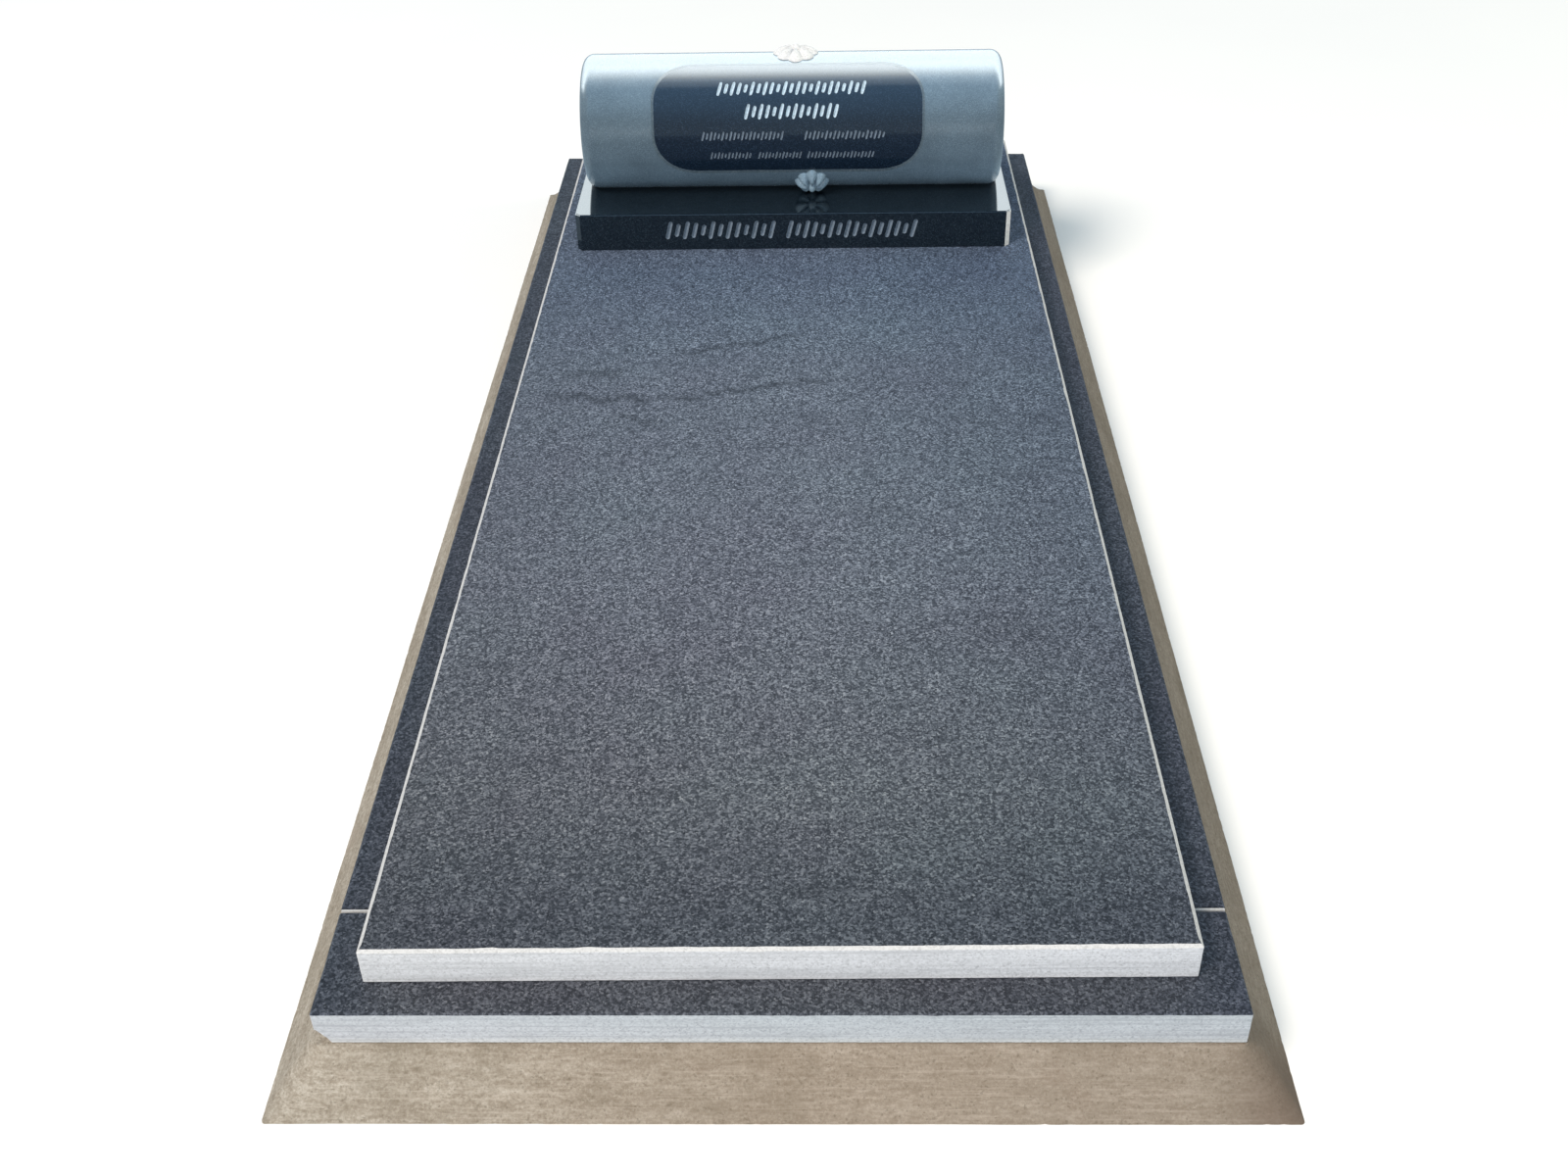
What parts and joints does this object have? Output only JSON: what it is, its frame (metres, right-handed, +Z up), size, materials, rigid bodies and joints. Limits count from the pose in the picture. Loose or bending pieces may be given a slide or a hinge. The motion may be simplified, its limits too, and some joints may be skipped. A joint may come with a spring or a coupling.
{
  "type": "granite headstone with ledger and kerb set",
  "caption": "Low horizontal roll headstone on a polished base, over a full-length ledger slab, kerb frame and sloped mortar plinth.",
  "frame": {"origin": "centre of the plinth's underside, on the ground", "axes": "+Z up, +Y along the grave from the foot to the head, +X to the right of someone at the foot who faces the headstone"},
  "size_m": [1.028, 2.276, 0.4455],
  "materials": {
    "mortar": "brushed, rough",
    "grey_granite": "polished top, sawn pale edges",
    "white_grout": "matte",
    "black_granite": "polished",
    "honed_granite": "honed"
  },
  "bodies": {
    "root": {"concrete_plinth": "mortar", "kerb_front": "grey_granite", "kerb_back": "grey_granite", "kerb_left": "grey_granite", "kerb_right": "grey_granite", "grout_front_left": "white_grout", "grout_front_right": "white_grout", "grout_back_left": "white_grout", "grout_back_right": "white_grout", "ledger": "grey_granite", "headstone_base": "black_granite", "headstone_roll": "honed_granite"}
  },
  "joints": []
}
